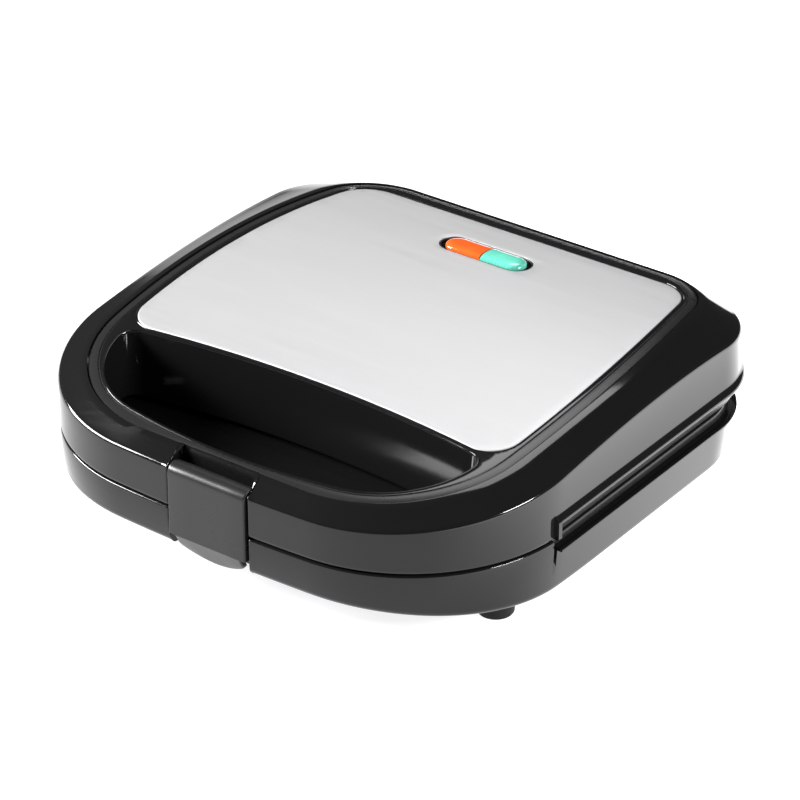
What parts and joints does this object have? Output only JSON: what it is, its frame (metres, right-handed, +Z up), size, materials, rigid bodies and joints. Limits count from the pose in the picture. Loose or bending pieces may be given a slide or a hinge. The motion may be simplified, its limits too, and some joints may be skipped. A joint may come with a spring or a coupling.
{
  "type": "donut maker",
  "caption": "Two-plate electric ring-doughnut maker with a hinged crowned lid, front latch, finger well, steel top plate and two indicator lamps.",
  "frame": {"origin": "on the table under the middle of the appliance", "axes": "+Z up, +Y towards the hinge at the back, +X to the right seen from the front latch"},
  "size_m": [0.241, 0.2391, 0.0718],
  "materials": {
    "black_shell": "high gloss piano black",
    "black_satin": "satin black",
    "black_matt": "matt moulded black",
    "brushed_plate": "finely brushed stainless steel",
    "red_lens": "translucent red-orange",
    "green_lens": "translucent teal green",
    "lamp_glass": "clear glass neon indicator",
    "white_nylon": "natural nylon",
    "screw_steel": "zinc plated steel",
    "nonstick_casting": "cast aluminium with a dark non-stick coating",
    "heater_sheath": "heat-darkened steel sheath",
    "sheet_aluminium": "plain sheet aluminium",
    "glass_sleeve": "woven glass-fibre sleeve",
    "foot_rubber": "black rubber"
  },
  "bodies": {
    "base": {"base_housing": "black_shell", "hinge_pin_left": "screw_steel", "hinge_pin_right": "screw_steel", "cord_gland": "black_matt", "cord_clamp": "white_nylon", "terminal_block": "white_nylon", "lower_cooking_plate": "nonstick_casting", "lower_heating_element": "heater_sheath", "lower_element_terminals": "screw_steel", "lower_element_clamp": "screw_steel", "lower_element_clamp_screw": "screw_steel", "lower_heat_shield": "sheet_aluminium", "lower_thermal_fuse": "glass_sleeve", "lower_plate_screws": "screw_steel", "rubber_foot_front_left": "foot_rubber", "rubber_foot_front_right": "foot_rubber", "rubber_foot_rear_left": "foot_rubber", "rubber_foot_rear_right": "foot_rubber"},
    "lid": {"lid_housing": "black_shell", "lid_inner_panel": "black_matt", "lid_panel_screws": "screw_steel", "top_frame": "black_satin", "steel_top_plate": "brushed_plate", "lamp_bezel": "black_matt", "red_lens": "red_lens", "green_lens": "green_lens", "neon_lamp_left": "lamp_glass", "neon_lamp_right": "lamp_glass", "lamp_holder": "white_nylon", "latch_pin": "screw_steel", "thermostat": "sheet_aluminium", "upper_cooking_plate": "nonstick_casting", "upper_heating_element": "heater_sheath", "upper_element_terminals": "screw_steel", "upper_element_clamp": "screw_steel", "upper_element_clamp_screw": "screw_steel", "upper_heat_shield": "sheet_aluminium", "upper_thermal_fuse": "glass_sleeve", "upper_plate_screws": "screw_steel"},
    "latch": {"latch_clip": "black_satin"}
  },
  "joints": [
    {"name": "lid_hinge", "type": "hinge", "parent": "base", "child": "lid", "pos_m": [0, 0.116, 0.027], "axis": [-1, 0, 0], "range_deg": [0, 105]},
    {"name": "latch_pivot", "type": "hinge", "parent": "lid", "child": "latch", "pos_m": [0, -0.1136, 0.0476], "axis": [-1, 0, 0], "range_deg": [0, 60]}
  ]
}
